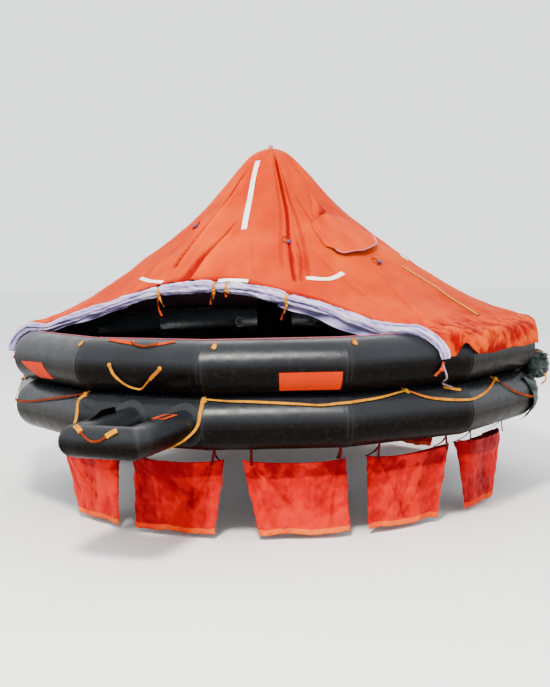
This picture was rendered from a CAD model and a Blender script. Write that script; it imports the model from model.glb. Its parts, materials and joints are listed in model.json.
"""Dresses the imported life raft: tent, tubes, pockets and fittings in their real cloth, rubber and tape.

Metres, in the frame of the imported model. An angle "at" turns from -Y towards +X, in degrees, and a
"turn" goes round a tube's section from its outer crown (0) to its top (90), in degrees.
"""

import json
import math
import random

import bpy
import numpy as np
from mathutils import Matrix, Vector


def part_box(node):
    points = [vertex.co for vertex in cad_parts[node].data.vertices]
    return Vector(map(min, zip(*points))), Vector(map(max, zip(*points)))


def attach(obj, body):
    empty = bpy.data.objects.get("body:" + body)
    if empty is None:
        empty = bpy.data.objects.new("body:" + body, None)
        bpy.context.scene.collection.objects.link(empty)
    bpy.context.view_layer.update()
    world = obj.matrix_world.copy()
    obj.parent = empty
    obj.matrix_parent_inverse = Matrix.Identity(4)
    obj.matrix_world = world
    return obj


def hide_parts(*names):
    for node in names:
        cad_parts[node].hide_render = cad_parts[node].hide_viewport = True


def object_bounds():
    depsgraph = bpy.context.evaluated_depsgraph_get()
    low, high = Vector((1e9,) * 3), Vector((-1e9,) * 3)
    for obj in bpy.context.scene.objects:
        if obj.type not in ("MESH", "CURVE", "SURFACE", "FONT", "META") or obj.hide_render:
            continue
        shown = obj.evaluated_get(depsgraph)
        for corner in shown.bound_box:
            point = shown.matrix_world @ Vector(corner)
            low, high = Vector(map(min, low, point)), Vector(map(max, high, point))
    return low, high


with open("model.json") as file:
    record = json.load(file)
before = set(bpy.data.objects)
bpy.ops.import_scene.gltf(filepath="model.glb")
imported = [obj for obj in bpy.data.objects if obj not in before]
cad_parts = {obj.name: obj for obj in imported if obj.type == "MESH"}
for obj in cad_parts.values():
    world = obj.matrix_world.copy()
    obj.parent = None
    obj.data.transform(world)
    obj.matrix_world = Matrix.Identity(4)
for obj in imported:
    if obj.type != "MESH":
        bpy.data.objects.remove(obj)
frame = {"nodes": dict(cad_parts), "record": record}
CAD_LOW, CAD_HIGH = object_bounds()

# Ring, read from the frame where it can be
LOW_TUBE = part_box("lower_tube")
HIGH_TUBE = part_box("upper_tube")
TUBE_R = (LOW_TUBE[1][2] - LOW_TUBE[0][2]) / 2
LOW_Z = (LOW_TUBE[1][2] + LOW_TUBE[0][2]) / 2
HIGH_Z = (HIGH_TUBE[1][2] + HIGH_TUBE[0][2]) / 2
SIDES = 14
SIDE_STEP = 360.0 / SIDES
PHASE = -4.0
APOTHEM = 1.807
CROWN = APOTHEM + TUBE_R

# Tent: outer profile as radius and height over the lower tube's top
PROFILE = (
    (0.000, 1.668), (0.070, 1.650), (0.160, 1.600), (0.280, 1.470), (0.420, 1.310), (0.560, 1.170),
    (0.770, 0.990), (1.000, 0.830), (1.150, 0.715), (1.430, 0.540), (1.700, 0.405), (1.850, 0.358),
    (1.950, 0.330), (1.992, 0.265), (2.000, 0.185),
)
ROUND_UNTIL = 1.0
SQUARE_FROM = 1.8
DOOR_Y = 1.160

# Front curtain's roll, its radius along X, and the tent's lip over it
ROLL_FAT = ((-1.75, 0.026), (-1.0, 0.029), (-0.5, 0.036), (0.2, 0.038), (0.8, 0.036), (1.4, 0.034), (1.75, 0.028))
ROLL_CLEAR = 0.004
LIP = 0.030
TIES = ((-0.36, 0.150, 0.4), (0.06, 0.100, -0.3), (0.15, 0.045, 0.5), (0.58, 0.120, -0.5))

# Boarding ramp
RAMP_REACH = 2.575
RAMP_HALF = 0.190
RAMP_R = 0.095

# Water pockets and their hangers
POCKET_SLOTS = (-1, 0, 1, 2, 3, 6, 7, 8, 9, 10)
POCKET_TOP_Z = -0.262
POCKET_FOOT_Z = -0.738
POCKET_TOP_HALF = 0.325
# how each pocket of five hangs: lean, shade, and how far its foot draws in at the left and the right
POCKET_HANG = (
    (0.8, -0.05, 0.135, 0.035),
    (-0.4, 0.62, 0.030, 0.055),
    (0.5, -0.15, 0.070, 0.010),
    (-0.6, 0.12, 0.035, 0.065),
    (0.8, 0.60, 0.045, 0.130),
)
HANGER_R = 1.765

# Gas bottle in its pouch, the rear ladder, the sign and the hood
BOTTLE_AT = PHASE + 4 * SIDE_STEP
LADDER_AT = PHASE + 7 * SIDE_STEP
SIGN_AT = 28.0
HOOD_AT = 66.0
HOOD_SPREAD = 20.0
HOOD_EDGE = ((-1.0, 0.900), (-0.76, 1.005), (-0.28, 1.000), (0.36, 0.935), (1.0, 0.800))

# Camera, fitted to the tubes' edges in the photograph
CAMERA_AT = 22.0
CAMERA_AWAY = 7.951
CAMERA_UP = 0.857 + TUBE_R
CAMERA_PITCH = 5.09
CAMERA_ROLL = -1.24
CAMERA_FOCAL_PX = 1013.4
PHOTO_HIGH = 687.0
SENSOR = 36.0

# Light and floor
KEY_AT = 14.0
KEY_RISE = 44.0
FLOOR_Z = CAD_LOW[2] - 0.03


def direction(at):
    a = math.radians(at)
    return Vector((math.sin(a), -math.cos(a), 0.0))


def tangent(at):
    a = math.radians(at)
    return Vector((math.cos(a), math.sin(a), 0.0))


def place(at, radius, height, along=0.0):
    return direction(at) * radius + tangent(at) * along + Vector((0, 0, height))


def from_side(at):
    return (at - PHASE + SIDE_STEP / 2) % SIDE_STEP - SIDE_STEP / 2


def side_factor(at):
    return 1.0 / math.cos(math.radians(from_side(at)))


def lerp(a, b, t):
    return a + (b - a) * t


def smooth_step(low, high, value):
    t = np.clip((value - low) / (high - low), 0.0, 1.0)
    return t * t * (3 - 2 * t)


def spline(points, steps):
    """A smooth line through the points, as Vectors, with steps pieces between neighbours."""
    pts = [Vector(p) for p in points]
    ends = [pts[0] * 2 - pts[1]] + pts + [pts[-1] * 2 - pts[-2]]
    line = []
    for i in range(1, len(ends) - 2):
        p0, p1, p2, p3 = ends[i - 1:i + 3]
        for k in range(steps):
            t = k / steps
            line.append(0.5 * (2 * p1 + (p2 - p0) * t + (2 * p0 - 5 * p1 + 4 * p2 - p3) * t * t
                               + (3 * p1 - p0 - 3 * p2 + p3) * t ** 3))
    line.append(pts[-1])
    return line


def crumple(u, v, seed, size=1.0, warp=0.9):
    """Sharp-edged ripples, like those of crushed cloth, between about -1 and 1."""
    rng = random.Random(seed)
    total = 0.0
    weight = 0.0
    for k in range(7):
        a = rng.uniform(0, math.pi)
        rate = 2.2 * size * 1.5 ** k
        cross = u * math.sin(a) - v * math.cos(a)
        bend = warp * np.sin(rate * 0.55 * cross + rng.uniform(0, 6))
        wave = np.arcsin(np.sin(rate * (u * math.cos(a) + v * math.sin(a)) + rng.uniform(0, 6) + bend))
        share = 0.78 ** k
        total = total + wave * share
        weight += share
    return total / weight * 1.3


# Materials

class Look:
    """A Principled material under construction, with short calls for its node tree."""

    def __init__(self, name, colour, rough, metallic=0.0):
        self.material = bpy.data.materials.new(name)
        self.material.use_nodes = True
        self.material.diffuse_color = (*colour, 1.0)
        self.tree = self.material.node_tree
        self.shader = self.tree.nodes["Principled BSDF"]
        self.shader.inputs["Base Color"].default_value = (*colour, 1.0)
        self.shader.inputs["Roughness"].default_value = rough
        self.shader.inputs["Metallic"].default_value = metallic
        self.coords = self.tree.nodes.new("ShaderNodeTexCoord").outputs
        self.height = None

    def node(self, kind, **values):
        made = self.tree.nodes.new(kind)
        for key, value in values.items():
            if key in made.inputs:
                made.inputs[key].default_value = value
            else:
                setattr(made, key, value)
        return made

    def link(self, source, target):
        self.tree.links.new(source, target)

    def noise(self, scale, detail=3.0, rough=0.55, stretch=None):
        made = self.node("ShaderNodeTexNoise", Scale=scale, Detail=detail, Roughness=rough)
        coord = self.coords["Object"]
        if stretch:
            mapping = self.node("ShaderNodeMapping", Scale=stretch)
            self.link(coord, mapping.inputs["Vector"])
            coord = mapping.outputs["Vector"]
        self.link(coord, made.inputs["Vector"])
        return made.outputs["Fac"]

    def upward(self):
        """How far a surface faces up, from -1 to 1."""
        made = self.node("ShaderNodeSeparateXYZ")
        self.link(self.coords["Normal"], made.inputs[0])
        return made.outputs["Z"]

    def spread(self, source, low, high, a=0.0, b=1.0):
        made = self.node("ShaderNodeMapRange")
        for key, value in (("From Min", low), ("From Max", high), ("To Min", a), ("To Max", b)):
            made.inputs[key].default_value = value
        self.link(source, made.inputs["Value"])
        return made.outputs["Result"]

    def attribute(self, name):
        return self.node("ShaderNodeAttribute", attribute_name=name).outputs["Fac"]

    def mix(self, factor, a, b):
        made = self.node("ShaderNodeMix", data_type="RGBA")
        for socket, value in ((made.inputs[6], a), (made.inputs[7], b)):
            if isinstance(value, tuple):
                socket.default_value = (*value, 1.0)
            else:
                self.link(value, socket)
        self.link(factor, made.inputs[0])
        return made.outputs[2]

    def sums(self, operation, a, b):
        made = self.node("ShaderNodeMath", operation=operation)
        for socket, value in ((made.inputs[0], a), (made.inputs[1], b)):
            if isinstance(value, (int, float)):
                socket.default_value = value
            else:
                self.link(value, socket)
        return made.outputs[0]

    def bump(self, source, distance, strength=1.0):
        made = self.node("ShaderNodeBump", Distance=distance, Strength=strength)
        self.link(source, made.inputs["Height"])
        if self.height:
            self.link(self.height, made.inputs["Normal"])
        self.height = made.outputs["Normal"]
        self.link(self.height, self.shader.inputs["Normal"])

    def weave(self, pitch, distance):
        """Two crossed sets of threads, in the cloth's own u and v."""
        uv = self.node("ShaderNodeUVMap").outputs["UV"]
        parts = []
        for axis in ("X", "Y"):
            wave = self.node("ShaderNodeTexWave", bands_direction=axis, Scale=0.5 / pitch)
            self.link(uv, wave.inputs["Vector"])
            parts.append(wave.outputs["Fac"])
        self.bump(self.sums("ADD", parts[0], parts[1]), distance)

    def colour(self, source):
        self.link(source, self.shader.inputs["Base Color"])

    def rough(self, source):
        self.link(source, self.shader.inputs["Roughness"])


def rubber(name, under, over, rough=0.34, shine=0.42):
    """Black coated rubber, greyed by light and dust where it faces up."""
    look = Look(name, under, rough)
    up = look.spread(look.upward(), 0.02, 0.30)
    patches = look.spread(look.noise(3.1, 5.0), 0.30, 0.75)
    base = look.mix(up, under, look.mix(patches, over, tuple(c * 1.5 for c in over)))
    dust = look.spread(look.noise(31.0, 6.0, 0.72), 0.52, 0.86, 0.0, 0.30)
    dusty = look.sums("MULTIPLY", look.sums("ADD", dust, look.attribute("fold")), 0.8)
    look.colour(look.mix(look.sums("MINIMUM", dusty, 1.0), base, (0.036, 0.035, 0.034)))
    look.rough(look.spread(look.noise(11.0, 5.0), 0.3, 0.75, rough - 0.06, rough + 0.12))
    look.link(look.spread(look.upward(), -0.15, 0.35, 0.03, shine), look.shader.inputs["Specular IOR Level"])
    look.bump(look.noise(6.0, 2.0), 0.010, 0.30)
    look.bump(look.noise(70.0, 3.0, 0.6, (1.0, 1.0, 0.25)), 0.0015, 0.35)
    look.bump(look.noise(900.0, 2.0), 0.0006, 0.45)
    return look.material


def cloth(name, bright, deep, light=None, rough=0.55, weave=0.0022, mottle=0.25, shine=0.16):
    """Coated cloth: valleys (fold above 0) are deeper in colour and ridges (below 0) lighter."""
    look = Look(name, bright, rough)
    fold = look.attribute("fold")
    cloudy = look.spread(look.noise(5.0, 6.0, 0.62), 0.40, 0.72, 0.0, mottle)
    deepened = look.mix(look.sums("MINIMUM", look.sums("ADD", look.sums("MAXIMUM", fold, 0.0), cloudy), 1.0),
                        bright, deep)
    ridge = look.sums("MINIMUM", look.sums("MAXIMUM", look.sums("MULTIPLY", fold, -1.0), 0.0), 1.0)
    look.colour(look.mix(ridge, deepened, light or bright))
    look.rough(look.spread(look.noise(14.0, 4.0), 0.3, 0.7, rough - 0.08, rough + 0.10))
    look.shader.inputs["Specular IOR Level"].default_value = shine
    look.shader.inputs["Specular Tint"].default_value = (*(light or bright), 1.0)
    look.bump(look.noise(24.0, 4.0, 0.6), 0.007, 0.28)
    look.weave(weave, 0.0004)
    return look.material


def tape(name, bright, deep, rough=0.62):
    """Woven webbing with slanting ribs and worn patches."""
    look = Look(name, bright, rough)
    worn = look.spread(look.noise(20.0, 5.0, 0.65), 0.35, 0.68)
    look.colour(look.mix(look.sums("MINIMUM", look.sums("ADD", worn, look.attribute("fold")), 1.0), bright, deep))
    rib = look.node("ShaderNodeTexWave", bands_direction="DIAGONAL", Scale=170.0)
    look.link(look.node("ShaderNodeUVMap").outputs["UV"], rib.inputs["Vector"])
    look.shader.inputs["Specular IOR Level"].default_value = 0.06
    look.bump(rib.outputs["Fac"], 0.0008, 0.8)
    look.bump(look.noise(300.0), 0.0006, 0.5)
    return look.material


def banded(name, light, dark, pitch):
    """A cord of two colours that alternate along it."""
    look = Look(name, light, 0.6)
    wave = look.node("ShaderNodeTexWave", bands_direction="Y", Scale=0.5 / pitch, Distortion=0.6)
    look.link(look.node("ShaderNodeUVMap").outputs["UV"], wave.inputs["Vector"])
    look.colour(look.mix(look.spread(wave.outputs["Fac"], 0.60, 0.66), light, dark))
    look.bump(look.noise(500.0), 0.0008, 0.6)
    return look.material


def plain(name, colour, rough, metallic=0.0, grain=120.0):
    look = Look(name, colour, rough, metallic)
    shade = look.spread(look.noise(grain / 6, 5.0), 0.35, 0.7, 0.0, 0.6)
    look.colour(look.mix(shade, colour, tuple(c * 0.72 for c in colour)))
    look.rough(look.spread(look.noise(grain / 3, 4.0), 0.3, 0.7, max(0.05, rough - 0.08), rough + 0.1))
    look.bump(look.noise(grain * 4), 0.0005, 0.5)
    return look.material


RUBBER = rubber("tube_rubber", (0.0022, 0.0015, 0.0012), (0.0080, 0.0092, 0.0112), 0.27, 0.19)
FLOOR_RUBBER = rubber("floor_rubber", (0.006, 0.006, 0.006), (0.010, 0.011, 0.012), 0.5, 0.14)
COLUMN_RUBBER = rubber("column_rubber", (0.003, 0.002, 0.002), (0.005, 0.005, 0.006), 0.45, 0.08)
TENT = cloth("tent_cloth", (0.55, 0.040, 0.0), (0.26, 0.0, 0.001), (0.70, 0.078, 0.0), 0.6, shine=0.03)
DEEP_CLOTH = cloth("tent_cloth_deep", (0.26, 0.004, 0.001), (0.16, 0.001, 0.002), shine=0.03)
LINING = cloth("tent_lining", (0.070, 0.035, 0.045), (0.030, 0.014, 0.022))
LILAC = cloth("door_lining", (0.43, 0.34, 0.62), (0.075, 0.075, 0.16), (0.66, 0.58, 0.72), 0.40)
POCKET = cloth("pocket_cloth", (0.52, 0.0, 0.002), (0.20, 0.0, 0.003), (0.66, 0.014, 0.006), 0.5, mottle=0.12,
               shine=0.08)
POCKET_HEM = cloth("pocket_hem", (0.78, 0.070, 0.0), (0.62, 0.012, 0.0), (0.85, 0.15, 0.012), shine=0.06)
SIGN = cloth("sign_cloth", (0.50, 0.024, 0.0), (0.36, 0.008, 0.0), shine=0.06)
HANGER = tape("hanger_tape", (0.10, 0.002, 0.004), (0.05, 0.001, 0.002))
AMBER = tape("amber_tape", (0.56, 0.250, 0.006), (0.36, 0.095, 0.001))
RUST_TAPE = tape("rust_tape", (0.24, 0.032, 0.002), (0.10, 0.012, 0.001))
ORANGE_TAPE = tape("orange_tape", (0.50, 0.048, 0.0), (0.30, 0.016, 0.0))
PINK = plain("pink_piping", (0.42, 0.085, 0.11), 0.55)
WHITE = plain("reflective_tape", (0.97, 0.88, 0.84), 0.40)
GREY_CLOTH = cloth("pouch_cloth", (0.050, 0.064, 0.058), (0.008, 0.010, 0.010), (0.085, 0.105, 0.096), 0.65)
BOTTLE = plain("bottle_enamel", (0.03, 0.035, 0.04), 0.35, 0.3)
BRASS = plain("valve_brass", (0.42, 0.28, 0.11), 0.32, 1.0)
STEEL = plain("ring_steel", (0.50, 0.50, 0.51), 0.28, 1.0)
LAMP = plain("lamp_plastic", (0.40, 0.10, 0.14), 0.30)
PURPLE = plain("toggle_plastic", (0.060, 0.012, 0.060), 0.40)
BLACK_CAP = plain("valve_plastic", (0.006, 0.006, 0.007), 0.30)
CORD_BANDS = banded("banded_cord", (0.60, 0.28, 0.005), (0.10, 0.03, 0.01), 0.034)
WHITE_CORD = tape("white_cord", (0.42, 0.33, 0.36), (0.18, 0.12, 0.16))


# Making pieces

def add_piece(name, points, faces, material, replaces=(), folds=None, uvs=None, sharp=None,
              face_material=None):
    """A mesh that rides on the raft; folds is one value a point and uvs one pair a point."""
    mesh = bpy.data.meshes.new(name)
    mesh.from_pydata([tuple(p) for p in points], [], faces)
    for one in (material if isinstance(material, (list, tuple)) else [material]):
        mesh.materials.append(one)
    if face_material is not None:
        mesh.polygons.foreach_set("material_index", face_material)
    layer = mesh.attributes.new("fold", "FLOAT", "POINT")
    values = np.zeros(len(points)) if folds is None else np.asarray(folds)
    layer.data.foreach_set("value", values.astype(np.float32))
    layer = mesh.uv_layers.new(name="UVMap")
    corner = np.zeros(len(mesh.loops), dtype=np.int32)
    mesh.loops.foreach_get("vertex_index", corner)
    pairs = np.asarray([(p[0] + p[1], p[2]) for p in points] if uvs is None else uvs, dtype=np.float32)
    layer.data.foreach_set("uv", pairs[corner].ravel())
    mesh.shade_smooth()
    if sharp is not None:
        mesh.set_sharp_from_angle(angle=math.radians(sharp))
    made = bpy.data.objects.new(name, mesh)
    bpy.context.scene.collection.objects.link(made)
    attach(made, "root")
    if replaces:
        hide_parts(*replaces)
    return made


def grid_faces(rows, columns, wrap=False, flip=False):
    """Quads over a grid of points stored row by row."""
    faces = []
    for i in range(rows - 1):
        for j in range(columns if wrap else columns - 1):
            k = (j + 1) % columns
            face = (i * columns + j, i * columns + k, (i + 1) * columns + k, (i + 1) * columns + j)
            faces.append(tuple(reversed(face)) if flip else face)
    return faces


def solidify(obj, thickness, offset=-1.0, inner=0):
    made = obj.modifiers.new("thickness", "SOLIDIFY")
    made.thickness = thickness
    made.offset = offset
    made.material_offset = inner
    return made


def line_frames(points, closed=False):
    """The direction of a line at each of its points."""
    count = len(points)
    made = []
    for i in range(count):
        before = points[i - 1] if (closed or i) else points[i]
        after = points[(i + 1) % count] if (closed or i < count - 1) else points[i]
        made.append((after - before).normalized())
    return made


def tube_faces(count, sides, closed):
    faces = grid_faces(count, sides, wrap=True)
    last = (count - 1) * sides
    if closed:
        return faces + [(last + j, last + (j + 1) % sides, (j + 1) % sides, j) for j in range(sides)]
    return faces + [tuple(reversed(range(sides))), tuple(last + j for j in range(sides))]


def ribbon(name, points, normals, width, material, thick=0.0024, replaces=(), folds=None):
    """A flat tape along a line, its face turned to the normals."""
    pts = [Vector(p) for p in points]
    widths = width if isinstance(width, (list, tuple)) else [width] * len(pts)
    outline = ((-1, 0), (-0.86, 1), (0, 1.12), (0.86, 1), (1, 0), (0.86, -1), (0, -1.12), (-0.86, -1))
    verts = []
    uvs = []
    run = 0.0
    for i, along in enumerate(line_frames(pts)):
        side = Vector(normals[i]).cross(along).normalized()
        normal = along.cross(side).normalized()
        half = widths[i] / 2
        for a, b in outline:
            verts.append(pts[i] + side * half * a + normal * thick / 2 * b)
            uvs.append((half * a, run))
        run += (pts[min(i + 1, len(pts) - 1)] - pts[i]).length
    shade = None if folds is None else [f for f in folds for _ in outline]
    return add_piece(name, verts, tube_faces(len(pts), 8, False), material, replaces, shade, uvs, 50)


def round_line(name, points, radius, material, sides=10, replaces=(), closed=False):
    """A round cord along a line; radius is one value or one a point."""
    pts = [Vector(p) for p in points]
    radii = radius if isinstance(radius, (list, tuple)) else [radius] * len(pts)
    verts = []
    uvs = []
    side = None
    run = 0.0
    for i, along in enumerate(line_frames(pts, closed)):
        side = side or along.orthogonal().normalized()
        side = (side - along * side.dot(along)).normalized()
        other = along.cross(side)
        for k in range(sides):
            a = 2 * math.pi * k / sides
            verts.append(pts[i] + (side * math.cos(a) + other * math.sin(a)) * radii[i])
            uvs.append((radii[i] * a, run))
        run += (pts[min(i + 1, len(pts) - 1)] - pts[i]).length
    return add_piece(name, verts, tube_faces(len(pts), sides, closed), material, replaces, uvs=uvs, sharp=60)


def ball(name, centre, radius, material, squash=1.0, axis=Vector((0, 0, 1))):
    """A rounded lump, flattened along an axis."""
    rows = 9
    axis = axis.normalized()
    radii = [max(0.02, math.sin(math.pi * i / rows)) * radius for i in range(rows + 1)]
    line = [centre - axis * radius * squash * math.cos(math.pi * i / rows) for i in range(rows + 1)]
    return round_line(name, line, radii, material, 14)


def disc(name, centre, normal, radius, thick, material):
    """A flat round piece with softened edges."""
    n = normal.normalized()
    line = [centre + n * thick * share for share in (0.0, 0.7, 1.0, 1.0)]
    return round_line(name, line, [radius, radius, radius * 0.88, 0.002], material, 28)


def on_tube(tube_z, at, turn, lift=0.0):
    """A point on a tube's skin and the skin's normal there."""
    t = math.radians(turn)
    side = at - from_side(at)
    apothem = APOTHEM + math.cos(t) * (TUBE_R + lift)
    point = place(at, apothem * side_factor(at), tube_z + math.sin(t) * (TUBE_R + lift))
    return point, direction(side) * math.cos(t) + Vector((0, 0, math.sin(t)))


def tube_line(tube_z, stations, lift=0.0, steps=8):
    """Points and normals along (at, turn) stations on a tube."""
    line = spline([(a, t, 0.0) for a, t in stations], steps)
    both = [on_tube(tube_z, p.x, p.y, lift) for p in line]
    return [p for p, _ in both], [n for _, n in both]


def tube_tape(name, tube_z, stations, width, material, lift=0.002, thick=0.0024, steps=8,
              replaces=()):
    points, normals = tube_line(tube_z, stations, lift, steps)
    return ribbon(name, points, normals, width, material, thick, replaces)


def tube_patch(name, tube_z, corners, material, lift=0.003, bulge=0.0, replaces=(), cells=10):
    """A cloth patch on a tube between four (at, turn) corners, given round its edge."""
    a, b, c, d = [Vector((*p, 0.0)) for p in corners]
    verts = []
    for face in (lift, -0.001):
        for i in range(cells + 1):
            for j in range(cells + 1):
                u = j / cells
                v = i / cells
                spot = a.lerp(b, u).lerp(d.lerp(c, u), v)
                edge = min(u, 1 - u, v, 1 - v) * cells
                rise = face + bulge * min(1.0, edge / 3) if face > 0 else face
                verts.append(on_tube(tube_z, spot.x, spot.y, rise)[0])
    size = (cells + 1) ** 2
    top = grid_faces(cells + 1, cells + 1, flip=True)
    faces = top + [tuple(size + k for k in reversed(f)) for f in top]
    rim = ([j for j in range(cells)] + [i * (cells + 1) + cells for i in range(cells)]
           + [cells * (cells + 1) + j for j in range(cells, 0, -1)] + [i * (cells + 1) for i in range(cells, 0, -1)])
    for p, q in zip(rim, rim[1:] + rim[:1]):
        faces.append((p, q, size + q, size + p))
    return add_piece(name, verts, faces, material, replaces, sharp=40)


# Tubes

def mitred_tube(name, tube_z, node):
    """Fourteen straight sides that meet in mitres, a little waisted and puckered at each joint."""
    section = 64
    stations = (0.0, 0.012, 0.03, 0.06, 0.12, 0.22, 0.36, 0.5, 0.64, 0.78, 0.88, 0.94, 0.97, 0.988)
    verts = []
    folds = []
    for k in range(SIDES):
        side = PHASE + k * SIDE_STEP
        for share in stations:
            edge = min(share, 1 - share)
            waist = 1.0 - 0.010 * math.exp(-(edge / 0.025) ** 2)
            for j in range(section):
                turn = 2 * math.pi * j / section
                inner = smooth_step(0.3, -0.9, math.cos(turn))
                pucker = 0.0030 * inner * math.exp(-(edge / 0.09) ** 2) * math.sin(turn * 19 + k * 2.1)
                size = TUBE_R * waist + pucker
                apothem = APOTHEM + math.cos(turn) * size
                limit = math.tan(math.radians(SIDE_STEP / 2)) * apothem
                verts.append(place(side, apothem, tube_z + math.sin(turn) * size, lerp(-limit, limit, share)))
                folds.append(0.35 * math.exp(-(edge / 0.03) ** 2) * max(0.0, math.sin(turn + 0.6)))
    count = SIDES * len(stations)
    faces = [tuple(reversed(f)) for f in tube_faces(count, section, True)]
    add_piece(name, verts, faces, RUBBER, (node,), folds, sharp=8)
    for k in range(SIDES):
        seam_tape(f"{name}_seam_{k + 1:02d}", tube_z, PHASE + (k + 0.5) * SIDE_STEP)


def seam_tape(name, tube_z, at):
    """The bonded strip over a mitre, folded over the corner."""
    section = 64
    verts = []
    folds = []
    for along in (-0.021, -0.019, -0.001, 0.001, 0.019, 0.021):
        for j in range(section):
            t = 2 * math.pi * j / section
            size = TUBE_R * 0.992 + (0.0012 if abs(along) < 0.020 else -0.0020)
            apothem = APOTHEM + math.cos(t) * size
            limit = math.tan(math.radians(SIDE_STEP / 2)) * apothem
            side = at - SIDE_STEP / 2 if along < 0 else at + SIDE_STEP / 2
            spot = limit + along if along < 0 else along - limit
            verts.append(place(side, apothem, tube_z + math.sin(t) * size, spot))
            folds.append(0.30 if abs(along) > 0.018 and math.sin(t + 0.5) > 0 else 0.0)
    faces = grid_faces(6, section, wrap=True, flip=True)
    add_piece(name, verts, faces, RUBBER, folds=folds, sharp=12)


def column():
    """The inflated mast under the tent's peak, with a cuff at its foot."""
    low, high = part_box("centre_column")
    radius = (high[0] - low[0]) / 2
    stations = []
    for i in range(60):
        share = i / 59
        foot = 0.006 * math.exp(-share / 0.02)
        head = 0.030 * math.exp(-((1 - share) / 0.02) ** 2)
        stations.append((low[2] + 0.002 + (high[2] - low[2] - 0.004) * share, radius - 0.006 + foot - head))
    line = [Vector((0, 0, z)) for z, _ in stations]
    round_line("mast", line, [r for _, r in stations], COLUMN_RUBBER, 48, ("centre_column",))
    for k, share in enumerate((0.05, 0.55, 0.93)):
        z = lerp(low[2], high[2], share)
        band = [Vector((0, 0, z + dz)) for dz in (-0.03, -0.028, 0.028, 0.03)]
        radii = [radius - 0.007, radius - 0.004, radius - 0.004, radius - 0.007]
        round_line(f"mast_band_{k + 1}", band, radii, COLUMN_RUBBER, 48)


# Tent

PROFILE_LINE = spline([(r, z + TUBE_R, 0.0) for r, z in PROFILE], 14)
PROFILE_R = np.array([p.x for p in PROFILE_LINE])
PROFILE_Z = np.array([p.y for p in PROFILE_LINE])
PROFILE_S = np.concatenate([[0.0], np.cumsum(np.hypot(np.diff(PROFILE_R), np.diff(PROFILE_Z)))])
HEM_S = float(PROFILE_S[-1])


def profile_at(s):
    """Radius, height and outward normal of the tent's profile, a distance s down from the peak."""
    r, z = (float(np.interp(s, PROFILE_S, v)) for v in (PROFILE_R, PROFILE_Z))
    r1, z1 = (float(np.interp(s + 0.02, PROFILE_S, v)) for v in (PROFILE_R, PROFILE_Z))
    r0, z0 = (float(np.interp(s - 0.02, PROFILE_S, v)) for v in (PROFILE_R, PROFILE_Z))
    run = Vector((r1 - r0, z1 - z0)).normalized()
    return r, z, -run.y, run.x


def squared(radius, at):
    share = min(1.0, max(0.0, (radius - ROUND_UNTIL) / (SQUARE_FROM - ROUND_UNTIL)))
    return radius * (1.0 + share * (side_factor(at) - 1.0))


def unsquared(reach, at):
    """The profile's radius whose plan reach at an angle is this."""
    radius = reach
    for _ in range(6):
        radius *= reach / squared(radius, at)
    return radius


def tent_height(x, y):
    reach = math.hypot(x, y)
    at = math.degrees(math.atan2(x, -y))
    return float(np.interp(unsquared(reach, at), PROFILE_R, PROFILE_Z))


# Folds of the tent: (angle, radius) points, depth, half width at the start and at the end
CREASES = (
    (((-21.0, 0.26), (-23.2, 0.646), (-17.8, 1.08)), 0.026, 0.012, 0.022),
    (((-1.0, 0.62), (-7.6, 0.963), (-9.5, 1.34)), 0.034, 0.006, 0.052),
    (((31.6, 0.12), (33.1, 0.495), (29.8, 0.831), (28.6, 1.22)), 0.018, 0.009, 0.014),
    (((26.5, 0.14), (28.5, 0.50), (26.0, 0.80), (25.0, 1.10)), 0.006, 0.006, 0.014),
    (((36.0, 0.16), (38.5, 0.60), (35.0, 1.00), (33.0, 1.20)), 0.009, 0.007, 0.020),
    (((34.0, 0.80), (33.0, 1.00), (30.5, 1.22)), 0.010, 0.008, 0.014),
    (((46.0, 0.40), (49.0, 0.75), (50.0, 1.00)), 0.007, 0.008, 0.016),
    (((12.0, 0.72), (13.0, 0.95), (16.0, 1.15)), 0.004, 0.010, 0.016),
    (((-31.0, 0.62), (-33.0, 0.95), (-30.0, 1.30)), 0.006, 0.010, 0.018),
    (((-25.0, 0.90), (-22.0, 1.25)), 0.006, 0.008, 0.016),
    (((62.0, 1.06), (58.0, 1.45), (54.0, 1.85)), 0.005, 0.014, 0.020),
    (((38.0, 0.92), (46.0, 1.25), (50.0, 1.55)), 0.004, 0.012, 0.020),
    (((-50.0, 0.50), (-52.0, 1.00), (-50.0, 1.60)), -0.008, 0.020, 0.050),
    (((18.0, 0.30), (17.0, 0.80), (19.0, 1.20)), -0.006, 0.020, 0.050),
)


def crease_list():
    """The folds seen in front, and like ones round the rest of the tent."""
    rng = random.Random(20)
    made = list(CREASES)
    at = 92.0
    while at < 300.0:
        near = rng.uniform(0.15, 0.7)
        far = near + rng.uniform(0.5, 1.1)
        bend = rng.uniform(-5, 5)
        line = ((at, near), (at + bend, (near + far) / 2), (at + bend * rng.uniform(0, 2), far))
        made.append((line, rng.choice((0.020, 0.012, 0.008, -0.008, 0.006)), 0.010, rng.uniform(0.018, 0.045)))
        at += rng.uniform(8.0, 20.0)
    flat = []
    for line, depth, start, end in made:
        smooth = spline([(a, r, 0.0) for a, r in line], 5)
        flat.append((np.array([tuple(direction(p.x) * p.y)[:2] for p in smooth]), depth, start, end))
    return flat


CREASE_LINES = crease_list()


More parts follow.
